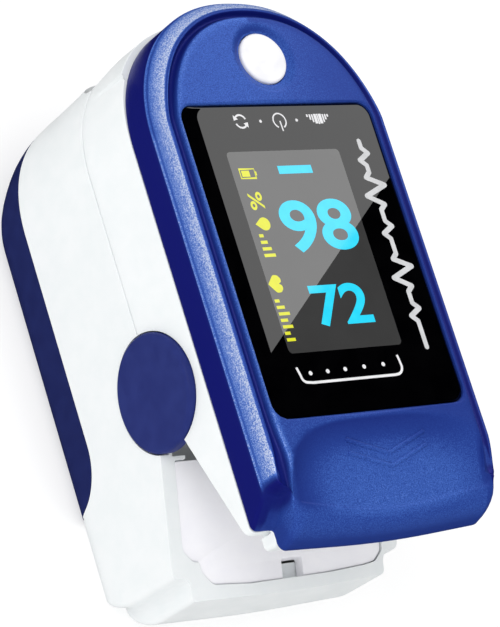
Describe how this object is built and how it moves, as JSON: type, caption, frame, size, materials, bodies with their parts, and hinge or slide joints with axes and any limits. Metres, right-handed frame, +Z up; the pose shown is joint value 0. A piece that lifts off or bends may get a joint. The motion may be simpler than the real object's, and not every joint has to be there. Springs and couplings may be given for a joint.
{
  "type": "fingertip pulse oximeter",
  "caption": "Clip-on fingertip sensor: two sprung plastic halves on a cross pin, with a display window, a round button and a battery door underneath.",
  "frame": {"origin": "middle of the footprint, on the surface the battery door rests on", "axes": "+Y towards the finger end, +X to the right seen from the push end, +Z up out of the display"},
  "size_m": [0.031, 0.0594, 0.034],
  "materials": {
    "white_shell": "fine satin, injection moulded",
    "inner_white": "matt moulded",
    "finger_rubber": "soft matt silicone",
    "circuit_board": "solder mask",
    "chip_black": "moulded epoxy",
    "optic_red": "clear, red tinted",
    "led_package": "clear epoxy",
    "steel": "zinc plated",
    "cell_jacket": "printed sleeve, plain",
    "contact_metal": "nickel plated",
    "ribbon": "polyimide film",
    "blue_cover": "fine spark-eroded texture, pearly",
    "window_black": "polished, glossy",
    "display": "dark display panel with lit figures",
    "navy": "smooth satin",
    "navy_door": "smooth satin",
    "button_white": "polished"
  },
  "bodies": {
    "lower_half": {"lower_shell": "white_shell", "rear_inner_cover": "inner_white", "lower_finger_pad": "finger_rubber", "sensor_board": "circuit_board", "photodiode": "chip_black", "sensor_window": "optic_red", "hinge_pin": "steel", "torsion_spring_left": "steel", "torsion_spring_right": "steel", "aaa_cell_left": "cell_jacket", "aaa_cell_right": "cell_jacket", "battery_link_plate": "contact_metal", "contact_plate_positive": "contact_metal", "contact_spring_negative": "contact_metal", "flex_ribbon": "ribbon"},
    "upper_half": {"upper_shell": "white_shell", "upper_finger_pad": "finger_rubber", "top_cover": "blue_cover", "display_window": "window_black", "oled_panel": "display", "main_board": "circuit_board", "controller_chip": "chip_black", "switch_body": "chip_black", "emitter_board": "circuit_board", "emitter_led": "led_package", "emitter_window": "optic_red", "pivot_cap_left": "navy", "pivot_cap_right": "navy", "cover_screw_front_left": "steel", "cover_screw_front_right": "steel", "cover_screw_rear_left": "steel", "cover_screw_rear_right": "steel"},
    "power_button": {"power_button": "button_white", "switch_plunger": "chip_black"},
    "battery_door": {"battery_door": "navy_door"}
  },
  "joints": [
    {"name": "clip_hinge", "type": "hinge", "parent": "lower_half", "child": "upper_half", "pos_m": [0, -0.0087, 0.0196], "axis": [1, 0, 0], "range_deg": [0, 25], "stiffness_Nm_per_rad": 0.12, "springref_deg": -34.38, "deforming": ["torsion_spring_left", "torsion_spring_right", "flex_ribbon"]},
    {"name": "button_press", "type": "slide", "parent": "upper_half", "child": "power_button", "axis": [0, 0, -1], "range_m": [0, 0.0005], "stiffness_N_per_m": 800, "springref_m": -0.0006},
    {"name": "door_slide", "type": "slide", "parent": "lower_half", "child": "battery_door", "axis": [0, 1, 0], "range_m": [0, 0.045]}
  ]
}
